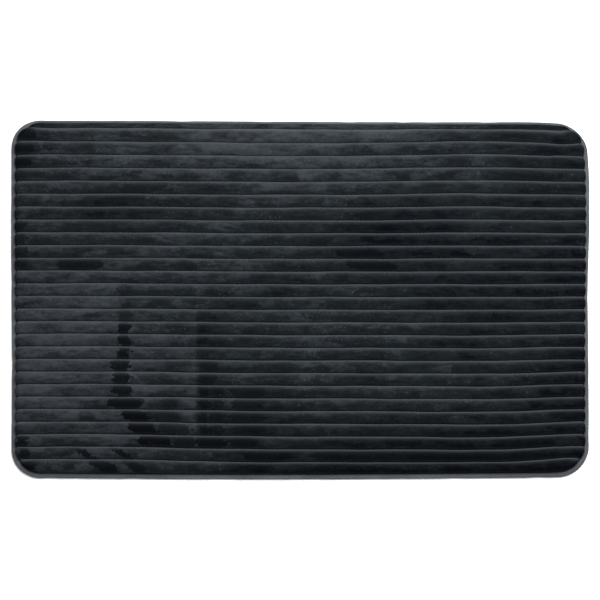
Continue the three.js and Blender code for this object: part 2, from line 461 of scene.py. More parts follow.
def rim_of(rows, columns):
    """Point numbers round the rim of a grid, in order."""
    back = np.arange(columns)
    right = np.arange(1, rows) * columns + columns - 1
    front = (rows - 1) * columns + np.arange(columns - 2, -1, -1)
    left = np.arange(rows - 2, 0, -1) * columns
    return np.concatenate([back, right, front, left])


def report(piece, words):
    """Prints a line on what was made."""
    low, high = np.array(piece.bound_box).min(0) / MM, np.array(piece.bound_box).max(0) / MM
    print(f"{piece.name}: {words}, {len(piece.data.polygons)} faces,",
          "size in mm", np.round(high - low, 1).tolist())


print("a grid of 3 by 4 points has", len(grid_faces(3, 4)), "faces and", len(rim_of(3, 4)),
      "points round its rim")

# %% [markdown]
# ## The plush cover
#
# The cover is one sheet of plush over all the ribs. Beside each face it notes which rib it is
# on, and at each corner how far across that rib it lies. A seam's points belong to two ribs at
# once, the front of one and the back of the next, so that number is kept for each face's corner
# and not for each point.

# %% Top of the cover
COLUMNS, PER_END = 166, 8
x, y, z, rib, across = quilt(per_rib=9, per_end_rib=15, columns=COLUMNS, per_end=PER_END)
rows = len(rib)
points = np.stack([x, y, z], axis=-1).reshape(-1, 3)
faces = [grid_faces(rows, COLUMNS)[:, ::-1]]
rim = rim_of(rows, COLUMNS)
next_across = np.where(rib[1:] > rib[:-1], 1.0, across[1:, 0])
quad_across = np.stack([next_across, next_across, across[:-1, 0], across[:-1, 0]], axis=-1)
corner_across = [np.repeat(quad_across, COLUMNS - 1, axis=0)]
face_rib = [np.repeat(rib[:-1], COLUMNS - 1)]
print("top of the cover:", rows, "rows of", COLUMNS, "points")

# %% [markdown]
# At the edge the cover tucks in under its own bulge and runs on as a flat flange into the
# binding, where it is sewn. Those last bands are added ring by ring round the rim.

# %% Tuck and flange of the cover
inset, out_x, out_y = inset_and_outward(points[rim, 0], points[rim, 1])
TUCK = [(0.45, 6.3 * MM), (1.0, 5.7 * MM), (1.0, 4.6 * MM)]   # share of the way in, height
FLANGE = [(6.4 * MM, 4.05 * MM), (1.6 * MM, 4.0 * MM)]        # inset, height
WALL_INSET = 7.2 * MM
rings = [(inset + (np.maximum(WALL_INSET, inset + 0.2 * MM) - inset) * share, height)
         for share, height in TUCK]
rings += [(np.full(len(rim), ring_inset), height) for ring_inset, height in FLANGE]
ring_numbers = rim
for ring_inset, height in rings:
    shift = inset - ring_inset
    ring = np.stack([points[rim, 0] + out_x * shift, points[rim, 1] + out_y * shift,
                     np.full(len(rim), height)], axis=-1)
    new_numbers = len(points) + np.arange(len(rim))
    points = np.concatenate([points, ring])
    following = np.roll(np.arange(len(rim)), -1)
    faces.append(np.stack([ring_numbers, new_numbers, new_numbers[following],
                           ring_numbers[following]], axis=-1)[:, ::-1])
    corner_across.append(across.ravel()[np.stack([rim[following]] * 2 + [rim] * 2, axis=-1)])
    face_rib.append(rib[rim // COLUMNS])
    ring_numbers = new_numbers
faces, face_rib = np.concatenate(faces), np.concatenate(face_rib)
corner_across = np.concatenate(corner_across)
print("with its tuck and flange:", len(points), "points")

# %% [markdown]
# Then the sheet becomes a piece and keeps its numbers, for its material to read. It has no
# thickness yet, and real cloth does. Blender's Solidify modifier adds a second face below the
# first, and is applied at once, because an exported mesh should have both.

# %% Plush cover
COVER_CLOTH = 1.2 * MM


def thicken(piece, thickness):
    """Adds a second face this far under the first, and applies it."""
    solidify = piece.modifiers.new("cloth_thickness", "SOLIDIFY")
    solidify.thickness = thickness
    solidify.offset = -1
    evaluated = piece.evaluated_get(bpy.context.evaluated_depsgraph_get())
    made = bpy.data.meshes.new_from_object(evaluated)
    made.name = piece.name
    piece.modifiers.clear()
    piece.data = made


def store(piece, name, values, domain="POINT"):
    """Keeps one number for each point, corner or face of a piece, for its material to read."""
    attribute = piece.data.attributes.new(name, "FLOAT", domain)
    attribute.data.foreach_set("value", np.asarray(values, dtype=np.float32).ravel())


cover = make_piece("plush_cover", points, faces)
store(cover, "rib", face_rib, "FACE")
store(cover, "across", corner_across, "CORNER")
# the marks hold painted shade at the left rib ends, besides the marks of pressing
pressed_and_shade, strength = pressed_and_shade_field(points[faces, 0], face_rib[:, None], corner_across)
store(cover, "pressed_and_shade", pressed_and_shade, "CORNER")
store(cover, "pressed_and_shade_strength", strength, "CORNER")
store(cover, "paleness", paleness(points[:, 0], points[:, 1]))
thicken(cover, COVER_CLOTH)
report(cover, "quilted sheet")

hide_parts("top_cover")

# %% [markdown]
# ## A closed slab
#
# The foam and the flat cloths are all slabs: an upper grid of points, a lower grid, and a side
# that joins their rims. One function makes them. The side may step through more rings on its
# way down, for a slab that is narrower below than above.

# %% Slab helper
def slab(name, upper, lower, *rings):
    """A closed piece between two grids of points, with rings of points down its side."""
    rows, columns, _ = upper.shape
    count, rim = rows * columns, rim_of(rows, columns)
    levels = [rim, *[2 * count + number * len(rim) + np.arange(len(rim))
                     for number in range(len(rings))], rim + count]
    sides = [np.stack([high, np.roll(high, -1), np.roll(low, -1), low], axis=-1)
             for high, low in zip(levels, levels[1:])]
    points = np.concatenate([upper.reshape(-1, 3), lower.reshape(-1, 3), *rings])
    return make_piece(name, points, grid_faces(rows, columns)[:, ::-1],
                      grid_faces(rows, columns) + count, *sides)


def grid_points(x, y, z):
    """A grid of points from its x, y and z, any of which may be one number."""
    return np.stack(np.broadcast_arrays(x, y, z), axis=-1)


print("a grid of 2 by 3 places is an array of shape", grid_points(np.zeros((2, 3)), 0, 1).shape)

# %% [markdown]
# ## The memory foam
#
# The foam is hidden, but it is a real piece with a shape of its own: the same ribs as the
# cover, a cloth's thickness lower. Under its swollen edge it steps in, to leave room for the
# cover that is tucked there, and goes straight down to a flat underside.

# %% Memory foam
FOAM_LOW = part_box("memory_foam_core")[0][2]
FOAM_SKIN = 1.9 * MM         # cover and a little air
FOAM_STEP_IN = 5 * MM
FOAM_WAIST = 7.7 * MM
foam_x, foam_y, foam_z, _, _ = quilt(per_rib=6, per_end_rib=8, columns=70, per_end=5, skin=FOAM_SKIN)
low_x, low_y = foam_x * (1 - FOAM_STEP_IN / HALF_LENGTH), foam_y * (1 - FOAM_STEP_IN / HALF_WIDTH)
waist = grid_points(low_x, low_y, FOAM_WAIST).reshape(-1, 3)[rim_of(*foam_x.shape)]
foam = slab("memory_foam", grid_points(foam_x, foam_y, foam_z), grid_points(low_x, low_y, FOAM_LOW),
            waist)
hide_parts("memory_foam_core")
report(foam, "ribbed core")

# %% [markdown]
# ## Flat cloths: the scrim and the backing
#
# Under the foam lies a thin non-woven sheet that the quilting is sewn to, and under that the
# woven backing. Both are flat sheets, cut to the outline. The scrim lifts a little at every
# seam, where the stitches pull on it.

# %% Scrim and backing cloth
def flat_grid(inset, rows, columns):
    """A grid of places over the mat's outline, this far in from its edge."""
    y = (HALF_WIDTH - inset) * np.sin(np.linspace(math.pi / 2, -math.pi / 2, rows))[:, None]
    return np.linspace(-1, 1, columns)[None, :] * half_length_at(y, inset), y


(_, _, SCRIM_LOW), (SCRIM_END, _, SCRIM_HIGH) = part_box("quilt_scrim")
scrim_x, scrim_y = flat_grid(HALF_LENGTH - SCRIM_END, 240, 60)
to_seam = np.abs(scrim_y - SEAM_Y[None, :]).min(1)[:, None]
pulled_up = 0.2 * MM * np.exp(-(to_seam / (2.5 * MM)) ** 2)
scrim = slab("scrim_sheet", grid_points(scrim_x, scrim_y, SCRIM_HIGH + pulled_up),
             grid_points(scrim_x, scrim_y, SCRIM_LOW + pulled_up))
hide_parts("quilt_scrim")
report(scrim, "non-woven sheet")

(_, _, GROUND), (BACKING_END, _, BACKING_HIGH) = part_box("grip_backing")
BACKING_CLOTH = 0.6 * MM
backing_x, backing_y = flat_grid(HALF_LENGTH - BACKING_END, 60, 60)
backing = slab("backing_cloth", grid_points(backing_x, backing_y, BACKING_HIGH),
               grid_points(backing_x, backing_y, BACKING_HIGH - BACKING_CLOTH))
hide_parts("grip_backing")
report(backing, "woven sheet")

# %% [markdown]
# ## The grip dots
#
# The backing grips a wet floor through small domes of soft plastic, printed on its cloth in
# rows that are offset by half a step. They are the lowest thing on the mat. One dome is worked
# out as a few rings of points, with a point at its tip and one in the middle of its base.

# %% One grip dot
DOT_RADIUS = 1.7 * MM
DOT_SIDES = 6
dot_top = BACKING_HIGH - BACKING_CLOTH
turn = np.linspace(0, 2 * math.pi, DOT_SIDES, endpoint=False)
ring = np.stack([np.cos(turn), np.sin(turn)], axis=-1)
profile = [(1.0, dot_top), (0.92, GROUND + 0.45 * MM), (0.6, GROUND + 0.1 * MM)]
dot = [np.concatenate([ring * DOT_RADIUS * share, np.full((DOT_SIDES, 1), height)], axis=1)
       for share, height in profile]
dot = np.concatenate(dot + [np.array([[0, 0, GROUND]]), np.array([[0, 0, dot_top]])])
tip = len(profile) * DOT_SIDES
dot_faces = []
for side in range(DOT_SIDES):
    beside = (side + 1) % DOT_SIDES
    for level in range(len(profile) - 1):
        low, high = level * DOT_SIDES, (level + 1) * DOT_SIDES
        dot_faces.append((low + beside, low + side, high + side, high + beside))
last = (len(profile) - 1) * DOT_SIDES
caps = [(last + (side + 1) % DOT_SIDES, last + side, tip) for side in range(DOT_SIDES)]
caps += [(side, (side + 1) % DOT_SIDES, tip + 1) for side in range(DOT_SIDES)]
print("one dome:", len(dot), "points,", len(dot_faces) + len(caps), "faces")

# %% [markdown]
# The same dome is then repeated wherever there is room inside the binding. Rows half a step
# apart make triangles with equal sides, which covers the cloth most evenly.

# %% Grip dots
DOT_STEP = 9.5 * MM
DOT_MARGIN = 8.5 * MM        # from the mat's edge to the nearest dome
step_y = DOT_STEP * math.sqrt(3) / 2
rows_each_way, columns_each_way = int(HALF_WIDTH / step_y), int(HALF_LENGTH / DOT_STEP) + 1
places = np.array([(column * DOT_STEP + (row % 2) * DOT_STEP / 2, row * step_y)
                   for row in range(-rows_each_way, rows_each_way + 1)
                   for column in range(-columns_each_way, columns_each_way + 1)])
room = inset_and_outward(places[:, 0], places[:, 1])[0]
places = places[room > DOT_MARGIN + DOT_RADIUS]
shift = np.concatenate([places, np.zeros((len(places), 1))], axis=1)
dot_points = (dot[None] + shift[:, None]).reshape(-1, 3)
offsets = (np.arange(len(places)) * len(dot))[:, None, None]
quads = (np.array(dot_faces)[None] + offsets).reshape(-1, 4)
triangles = (np.array(caps)[None] + offsets).reshape(-1, 3)
dots = make_piece("grip_dots", dot_points, quads, triangles)
report(dots, f"{len(places)} domes")

# %% [markdown]
# ## The binding
#
# The binding is a strip of cloth folded over the edge: seen from the end it is a C. A C drawn
# once and carried along the outline makes the whole strip. First comes the way round: four
# straights and four quarter turns, with even steps.

# %% The way round the edge
def outline_path(count):
    """Places evenly spaced along the mat's edge, the way out from each, how far round it is,
    and how far it is all the way round."""
    straight_x, straight_y = 2 * (HALF_LENGTH - CORNER_RADIUS), 2 * (HALF_WIDTH - CORNER_RADIUS)
    quarter = CORNER_RADIUS * math.pi / 2
    lengths = [straight_x, quarter, straight_y, quarter] * 2
    starts = np.concatenate([[0], np.cumsum(lengths)])
    travelled = np.linspace(0, starts[-1], count, endpoint=False)
    piece = np.searchsorted(starts, travelled, side="right") - 1
    on = travelled - starts[piece]
    quarter_turns = (piece + 1) // 2
    on_arc = piece % 2 == 1
    heading = quarter_turns * math.pi / 2 + np.where(on_arc, on / CORNER_RADIUS - math.pi / 2, 0)
    out = np.stack([np.sin(heading), -np.cos(heading)], axis=-1)
    side_middle = np.array([[0, -HALF_WIDTH], [HALF_LENGTH, 0], [0, HALF_WIDTH], [-HALF_LENGTH, 0]])
    side = quarter_turns % 4
    half = np.where(side % 2 == 0, straight_x, straight_y) / 2
    forward = np.stack([np.cos(heading), np.sin(heading)], axis=-1)
    straight = side_middle[side] + forward * (on - half)[:, None]
    corner_signs = np.array([[1, -1], [1, 1], [-1, 1], [-1, -1]])
    corner = corner_signs[(piece // 2) % 4] * [HALF_LENGTH - CORNER_RADIUS, HALF_WIDTH - CORNER_RADIUS]
    curved = corner + out * CORNER_RADIUS
    return np.where(on_arc[:, None], curved, straight), out, travelled, starts[-1]


print("once round the mat is", round(outline_path(8)[3], 3), "m")

# %% [markdown]
# Then comes the C. Its thickness is part of it, so the strip is closed from the start, with an
# outside, an inside and two lips.

# %% The fold of the tape
BINDING_CLOTH = 0.8 * MM
BINDING_HIGH = EDGE_HIGH[2]
BINDING_WIDTH = 6.5 * MM
NOSE = 2.9 * MM              # how far in from the edge the tape is bent
LIP_ROUNDING = 0.15 * MM


def binding_section():
    """The C, as pairs of distance in from the edge and height, round its closed outline."""
    half_height = BINDING_HIGH / 2
    fold = np.linspace(math.pi / 2, -math.pi / 2, 11)
    outer = [(NOSE - NOSE * math.cos(a), half_height + half_height * math.sin(a)) for a in fold]
    inner_half, inner_nose = half_height - BINDING_CLOTH, NOSE - BINDING_CLOTH
    inner = [(NOSE - inner_nose * math.cos(a), half_height + inner_half * math.sin(a))
             for a in fold[::-1]]
    lower_lip = [(BINDING_WIDTH * 0.8, 0), (BINDING_WIDTH, LIP_ROUNDING),
                 (BINDING_WIDTH, BINDING_CLOTH)]
    upper_lip = [(BINDING_WIDTH, BINDING_HIGH - BINDING_CLOTH),
                 (BINDING_WIDTH, BINDING_HIGH - LIP_ROUNDING), (BINDING_WIDTH * 0.8, BINDING_HIGH)]
    return np.array(outer + lower_lip + inner + upper_lip)


print("the C has", len(binding_section()), "points")

# %% [markdown]
# The fold is soft, so its width and height wander a little along the way. Whole numbers of
# waves round the mat keep the strip's two ends together.

# %% Edge binding
PATH_STEPS = 900
place, out, travelled, round_length = outline_path(PATH_STEPS)
section = binding_section()
around = 2 * math.pi * travelled / round_length
waves = np.sin(23 * around) + 0.7 * np.sin(41 * around + 1.1) + 0.5 * np.sin(67 * around + 0.4)
soft = 0.25 * MM * waves
inset = section[None, :, 0] + np.maximum(soft, 0)[:, None] * np.exp(-section[None, :, 0] / (3 * MM))
upper = section[None, :, 1] / BINDING_HIGH
height = section[None, :, 1] + 0.5 * soft[:, None] * np.where(upper > 0.8, 0, upper * (1 - upper))
flat = place[:, None, :] - out[:, None, :] * inset[:, :, None]
binding_points = np.concatenate([flat, height[:, :, None]], axis=-1).reshape(-1, 3)
loops = grid_faces(PATH_STEPS + 1, len(section), closed=True) % len(binding_points)
binding = make_piece("edge_tape", binding_points, loops[:, ::-1])
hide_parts("edge_binding")
report(binding, f"folded tape, {round(round_length, 3)} m round")

# %% [markdown]
# ## The stitches
#
# A lockstitch seam shows as a row of short threads with small gaps, each one dipping at both
# ends where it goes down through the cloth. Each quilting seam is a piece of its own, as each
# is sewn on its own; the binding has one seam that runs all the way round.

# %% One row of stitches
STITCH = 3.6 * MM
STITCH_GAP = 0.7 * MM
THREAD_RADIUS = 0.3 * MM


def stitch_row(name, start, end, up=0.0):
    """A row of stitches, one between each start and end, as short threads that dip at both
    ends. start and end are points on the cloth."""
    shares = np.array([0.0, 0.15, 0.5, 0.85, 1.0])
    dips = np.array([-1.0, 0.4, 1.0, 0.4, -1.0]) * THREAD_RADIUS * 0.8 + up
    thickness = np.array([0.5, 0.95, 1.0, 0.95, 0.5]) * THREAD_RADIUS
    along = end - start
    along /= np.linalg.norm(along, axis=1)[:, None]
    side = np.stack([-along[:, 1], along[:, 0], np.zeros(len(along))], axis=-1)
    rise = np.array([0, 0, 1.0])
    turn = np.linspace(0, 2 * math.pi, 6, endpoint=False)
    middle = start[:, None] + (end - start)[:, None] * shares[None, :, None]
    middle = middle + dips[None, :, None] * rise
    around = side[:, None, :] * np.cos(turn)[None, :, None] + rise * np.sin(turn)[None, :, None]
    tube = middle[:, :, None] + around[:, None] * thickness[None, :, None, None]
    per_stitch = len(shares) * len(turn)
    sides = grid_faces(len(shares), len(turn), closed=True)
    offsets = (np.arange(len(start)) * per_stitch)[:, None]
    quads = (sides[None] + offsets[:, :, None]).reshape(-1, 4)
    first = np.arange(len(turn))[::-1][None] + offsets
    last = np.arange(per_stitch - len(turn), per_stitch)[None] + offsets
    row = make_piece(name, tube.reshape(-1, 3), quads, first, last)
    return row


print("a stitch every", round((STITCH + STITCH_GAP) / MM, 1), "mm")

# %% [markdown]
# The quilting threads lie on the floor of each crease, along the same drifting line as the
# cover's seam.

# %% Quilting seams
threads = []
for index, name in enumerate(seam_names):
    half = half_length_at(SEAM_Y[index], HEM + SHOULDER)
    count = int(2 * half / (STITCH + STITCH_GAP))
    start_x = -half + np.arange(count) * (STITCH + STITCH_GAP)
    ends = [np.stack([at, SEAM_Y[index] + seam_drift(at, SEAM_Y[index]) + seam_wander(index, at),
                      np.full(count, SEAM_FLOOR + 0.1 * MM)], axis=-1)
            for at in (start_x, start_x + STITCH)]
    row = stitch_row(f"quilting_seam_{index + 1:02d}", *ends)
    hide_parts(name)
    threads.append(row)
report(threads[0], f"first of {len(threads)} quilting seams")

# %% [markdown]
# The binding's seam goes once round. The gap between two stitches is about a sixth of a step, so
# the path is cut into six parts for each stitch, and a stitch takes five of them.

# %% Binding seam
BINDING_SEAM_INSET = 4.6 * MM
PARTS = 6
stitch_count = int(round_length / (STITCH + STITCH_GAP))
place, out, _, _ = outline_path(stitch_count * PARTS)
line = place - out * BINDING_SEAM_INSET
line = np.concatenate([line, np.full((len(line), 1), BINDING_HIGH + 0.05 * MM)], axis=1)
binding_seam = stitch_row("binding_seam", line[::PARTS], line[PARTS - 1::PARTS])
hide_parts("binding_stitch")
report(binding_seam, f"{stitch_count} stitches")

# %% [markdown]
# ## Helpers for materials
#
# A material in Blender is a small network of nodes. One function adds a node: it takes the
# kind of node, what goes into its sockets, and its settings, and gives back the output that
# the next node wants. A socket takes either a plain value or another node's output. Colours
# are written as hex, as a screen has them, and turned into the linear numbers that a renderer
# works in.

# %% Colours and nodes
def linear(hex_colour):
    """An sRGB hex colour as linear red, green, blue and alpha."""
    shares = [int(hex_colour[i:i + 2], 16) / 255 for i in (1, 3, 5)]
    return [s / 12.92 if s <= 0.04045 else ((s + 0.055) / 1.055) ** 2.4 for s in shares] + [1.0]


def add(tree, kind, inputs=(), out=0, **settings):
    """Adds a node. inputs is a list for the first sockets in order, or a dict by the sockets'
    names or numbers."""
    node = tree.nodes.new("ShaderNode" + kind)
    for setting, value in settings.items():
        setattr(node, setting, value)
    for socket, value in (inputs.items() if isinstance(inputs, dict) else enumerate(inputs)):
        if isinstance(value, bpy.types.NodeSocket):
            tree.links.new(value, node.inputs[socket])
        else:
            node.inputs[socket].default_value = value
    return node.outputs[out] if node.outputs else node


print("a screen's middle grey, #808080, is", round(linear("#808080")[0], 3), "in linear numbers")

# %% [markdown]
# Every material starts with the place on the piece, in metres, because all the patterns are
# sized in real millimetres. It ends in one shader, and is put on its pieces.

# %% Start and end of a material
def start_material(name):
    """An empty material, its node tree and the place on the piece, in metres."""
    material = bpy.data.materials.new(name)
    material.use_nodes = True
    material.node_tree.nodes.clear()
    return material, material.node_tree, add(material.node_tree, "TexCoord", out="Object")


def dress(pieces, material, shader_inputs):
    """Ends a material in one shader with these inputs, and puts it on the pieces."""
    tree = material.node_tree
    add(tree, "OutputMaterial", [add(tree, "BsdfPrincipled", shader_inputs)])
    for piece in pieces:
        piece.data.materials.clear()
        piece.data.materials.append(material)
    print(f"{material.name}: {len(tree.nodes)} nodes, on {len(pieces)} pieces")


# %% [markdown]
# ## Crushed plush
#
# The cover is a cut-pile polyester plush: millions of short upright fibres. Light that falls
# along the fibres is swallowed between them and light that falls across them comes back, so
# the same dark charcoal looks almost black where the pile lies towards you and grey where it
# lies away. A hand or a foot leaves patches like that, each within one rib, because the seams
# stop the pile from leaning across them. At the back edge of a rib the pile fans open over the
# crease, and a pale line is painted there: a painted highlight, where the light grazes the rib.
#
# So the material works out one number first, the level: how pale the pile looks at a point.
# It adds up patterns of a few sizes, each stretched along the ribs. The numbers kept in the
# mesh tell it where it is: which rib it is on, how far across that rib, what was brushed and
# marked there, and where light and shade are painted over wide areas and at the rib ends. A
# pattern that also reads the rib's number comes out new on every rib.

# %% Patterns along the ribs
CLUMP = 9.1 * MM             # tufts that lean together
RAGGEDNESS = 0.35            # how far they move an area's edge, in steps of its pattern
RIB_STRIDE = 7.31            # steps between two ribs, so that no two look alike


def rib_place(tree, place, length, cross, seed):
    """Where a point is along and across its own rib, in steps of a pattern."""
    rib = add(tree, "Attribute", out="Fac", attribute_name="rib")
    across = add(tree, "Attribute", out="Fac", attribute_name="across")
    along = add(tree, "SeparateXYZ", [place])
    return add(tree, "CombineXYZ", [
        add(tree, "Math", [along, length], operation="DIVIDE"),
        add(tree, "Math", [across, cross], operation="MULTIPLY"),
        add(tree, "Math", [rib, RIB_STRIDE, seed], operation="MULTIPLY_ADD")])


def leaning_areas(tree, place, length, cross, seed):
    """Areas with one random level each, from 0 to 1, and ragged edges."""
    ragged = add(tree, "TexNoise", {"Vector": place, "Scale": 1 / CLUMP, "Detail": 3.0}, out="Color")
    ragged = add(tree, "VectorMath", {0: ragged, "Scale": RAGGEDNESS}, operation="SCALE")
    where = add(tree, "VectorMath", [rib_place(tree, place, length, cross, seed), ragged],
                operation="ADD")
    return add(tree, "TexVoronoi", {"Vector": where, "Scale": 1.0, "Smoothness": 0.18},
               out="Color", feature="SMOOTH_F1")


def streaks(tree, place, length, cross, seed, detail=2.0):
    """Soft streaks along the ribs, about a middle of 0.5."""
    where = rib_place(tree, place, length, cross, seed)
    return add(tree, "TexNoise", {"Vector": where, "Scale": 1.0, "Detail": detail, "Roughness": 0.6},
               out="Fac")


def smears(tree, place, length, cross, seed):
    """Long areas with plain edges, each 0 or 1."""
    return add(tree, "MapRange", [streaks(tree, place, length, cross, seed, 5.0), 0.45, 0.55])


print("tufts lean together in clumps of", round(CLUMP / MM, 1), "mm")

# %% [markdown]
# The patterns are added up, each with its share, and one share is painted shade: each rib is
# darker towards its front. What was brushed and marked comes on top, with its painted light and
# shade: the marks get a frayed rim from one more pattern, and inside them the level drops: the
# pile lies flat there, except at the left rib ends, where the marks are painted shade.

# %% The level of the pile
# (pattern, its length along a rib, how many cross a rib, its seed, its share)
PILE_PATTERNS = [
    (leaning_areas, 30 * MM, 0.8, 0.0, 0.27),
    (leaning_areas, 13 * MM, 1.9, 5.0, 0.14),
    (smears, 38 * MM, 2.0, 31.0, 0.17),
    (smears, 15 * MM, 3.0, 47.0, 0.12),
    (streaks, 5 * MM, 5.0, 61.0, 0.25),
]
HAND = 111 * MM              # what one sweep of a hand brushes
HAND_SHARE = 0.50
# painted shade: each rib is darker towards its front, which faces away from the light
FRONT_SHADE_SHARE = -0.18         # a rib is darker towards its front
DARKER_BY = 0.03
FRAY = 1.9                   # how far the pattern moves a mark's rim
MARK_RIM = 1.39, 1.53        # from just outside a mark to just inside it


def pile_level(tree, place):
    """How pale the pile looks, with its painted light and shade, from 0 to 1."""
    across, brushed_and_painted_light, pressed_and_shade, strength = [
        add(tree, "Attribute", out="Fac", attribute_name=name)
        for name in ("across", "paleness", "pressed_and_shade", "pressed_and_shade_strength")]
    cloudy = add(tree, "TexNoise", {"Vector": place, "Scale": 1 / HAND}, out="Fac")
    patterns = [(pattern(tree, place, length, cross, seed), share)
                for pattern, length, cross, seed, share in PILE_PATTERNS]
    patterns += [(cloudy, HAND_SHARE), (across, FRONT_SHADE_SHARE)]
    level = add(tree, "Math", [brushed_and_painted_light, sum(share for _, share in patterns) / 2 + DARKER_BY],
                operation="SUBTRACT")
    for pattern, share in patterns:
        level = add(tree, "Math", [pattern, share, level], operation="MULTIPLY_ADD")
    frayed = streaks(tree, place, 7 * MM, 3.0, 11.0, 6.0)
    rim = add(tree, "Math", [frayed, FRAY, pressed_and_shade], operation="MULTIPLY_ADD")
    mark = add(tree, "Math", [add(tree, "MapRange", [rim, *MARK_RIM]), strength],
               operation="MULTIPLY")
    upright = add(tree, "Math", [1.0, mark], operation="SUBTRACT")
    return add(tree, "Math", [level, upright], operation="MULTIPLY")


print(len(PILE_PATTERNS), "patterns lie along the ribs, up to",
      round(max(length for _, length, *_ in PILE_PATTERNS) / MM), "mm long")

# %% [markdown]
# The level then picks a colour between three: pile end on, pile at a slant, pile on its side.
# Two things lie on top, both painted light. Stray fibres that catch the light are painted as
# small pale glints, mostly where the mat has been walked on. And a painted highlight lies along
# the back of each rib, set by the place across the rib: strongest at the seam and gone within a
# few millimetres, with a little painted light at the rib's front edge too, over the shade of the
# next crease.
#
# Fibres scatter light from all over their sides, so the plush has no shine of its own. The
# shader's shine is off and a little sheen stands in for the fibres at the outline. Real fibres
# are 0.02 mm thick, so the bump draws the tufts that they clump into.

# %% Plush
PILE_END_ON, PILE_SLANTED, PILE_ON_ITS_SIDE = "#040507", "#0f1214", "#232629"
# painted highlight: the next colour is the pale line painted along the back of each rib
FANNED_PILE_HIGHLIGHT = "#3f4245"
TUFT = 1.3 * MM
LINT_GLINT = 3.5 * MM
FOOTFALL = 40 * MM           # areas that were trodden more or less
HIGHLIGHT_REACH = 0.09             # of a rib's width, until the fan is down to a third

plush, tree, place = start_material("polyester_plush_cut_pile")
level = pile_level(tree, place)
# painted glints: small pale flecks where stray fibres catch the light, mostly on trodden areas
lint_glint = add(tree, "TexNoise", {"Vector": place, "Scale": 1 / LINT_GLINT, "Detail": 1.0}, out="Fac")
trodden = add(tree, "TexNoise", {"Vector": place, "Scale": 1 / FOOTFALL}, out="Fac")
glint_fleck = add(tree, "Math", [add(tree, "MapRange", [lint_glint, 0.63, 0.70]),
                           add(tree, "MapRange", [trodden, 0.45, 0.6])], operation="MULTIPLY")
level = add(tree, "Math", [glint_fleck, 0.32, level], operation="MULTIPLY_ADD")
slanted = add(tree, "Mix", {0: add(tree, "MapRange", [level, 0.0, 0.5]),
                            6: linear(PILE_END_ON), 7: linear(PILE_SLANTED)}, out=2, data_type="RGBA")
body = add(tree, "Mix", {0: add(tree, "MapRange", [level, 0.5, 1.0]),
                         6: slanted, 7: linear(PILE_ON_ITS_SIDE)}, out=2, data_type="RGBA")

# painted highlight, strongest at each rib's back seam, and a little painted light at its front seam
# over the crease's shade
across = add(tree, "Attribute", out="Fac", attribute_name="across")
crease_highlight = add(tree, "Math", [math.exp(-1 / HIGHLIGHT_REACH), across], operation="POWER")
crease_highlight = add(tree, "Math", [crease_highlight, 0.95, add(tree, "MapRange", [across, 0.75, 1.0, 0.0, 0.08])],
          operation="MULTIPLY_ADD")
colour = add(tree, "Mix", {0: crease_highlight, 6: body, 7: linear(FANNED_PILE_HIGHLIGHT)}, out=2, data_type="RGBA")

tufts = add(tree, "TexNoise", {"Vector": place, "Scale": 1 / (2 * TUFT), "Detail": 5.0,
                               "Roughness": 0.8}, out="Fac")
# the tufts darken the colour where their bump is low: random tone, and painted shade between the tufts
tuft_tone_and_shade = add(tree, "Math", [tufts, 1.1, 0.45], operation="MULTIPLY_ADD")
dress([cover], plush, {
    "Base Color": add(tree, "VectorMath", {0: colour, "Scale": tuft_tone_and_shade}, operation="SCALE"),
    "Roughness": 0.95,
    "IOR": 1.57,
    "Specular IOR Level": 0.0,
    "Sheen Weight": 0.02,
    "Sheen Roughness": 0.4,
    "Sheen Tint": linear("#8f98a2"),
    "Normal": add(tree, "Bump", {"Strength": 0.5, "Distance": 0.6 * MM, "Height": tufts})})

# %% [markdown]
# ## Binding tape
#
# The tape is a knitted velour with a pile of under a millimetre, dyed with the cover. Its colour
# is painted paler than the cover's, as a painted sheen: the light that the velour catches where
# it turns down over the edge and is seen at a slant. It was pulled round the edge under tension,
# so its fine knitted ribs run across it and it varies in tone along its length where the fold
# sits tighter or looser. The ribs are 0.9 mm apart in truth and are drawn at twice that, so that
# they show.

# %% Velour tape
TAPE_RIB = 1.8 * MM
FUZZ = 0.9 * MM
TAPE_HOLD = 45.5 * MM        # the stretch of tape that was fed at one hold

velour, tree, place = start_material("polyester_velour_knitted")
ribbing = add(tree, "TexVoronoi", {"Vector": place, "Scale": 1 / TAPE_RIB}, out="Distance")
fuzz = add(tree, "TexNoise", {"Vector": place, "Scale": 1 / FUZZ, "Detail": 4.0,
                              "Roughness": 0.8}, out="Fac")
nap = add(tree, "Math", [fuzz, 1.5, ribbing], operation="MULTIPLY_ADD")
handled = add(tree, "TexNoise", {"Vector": place, "Scale": 1 / TAPE_HOLD, "Detail": 3.0}, out="Fac")
# painted sheen: both colours of the tape are paler than the cover, for the light it catches at a slant
pale = add(tree, "Mix", {0: add(tree, "MapRange", [handled, 0.35, 0.65]),
                         6: linear("#2e3033"), 7: linear("#393c3f")}, out=2, data_type="RGBA")
shaded = add(tree, "MapRange", [nap, 0.4, 1.8, 0.75, 1.25])
dress([binding], velour, {
    "Base Color": add(tree, "VectorMath", {0: pale, "Scale": shaded}, operation="SCALE"),
    "Roughness": 0.9,
    "IOR": 1.57,
    "Specular IOR Level": 0.1,
    "Sheen Weight": 0.04,
    "Sheen Roughness": 0.4,
    "Sheen Tint": linear("#8f98a2"),
    "Normal": add(tree, "Bump", {"Strength": 0.6, "Distance": 0.4 * MM, "Height": nap})})

# %% [markdown]
# ## Sewing thread
#
# Spun polyester thread is two or three yarns twisted together. The twist shows as slanting
# grooves, and the short fibres that it was spun from give it a dull, slightly hairy surface.
# One turn of the twist takes about a thread's width.

# %% Spun thread
TWIST = 0.9 * MM

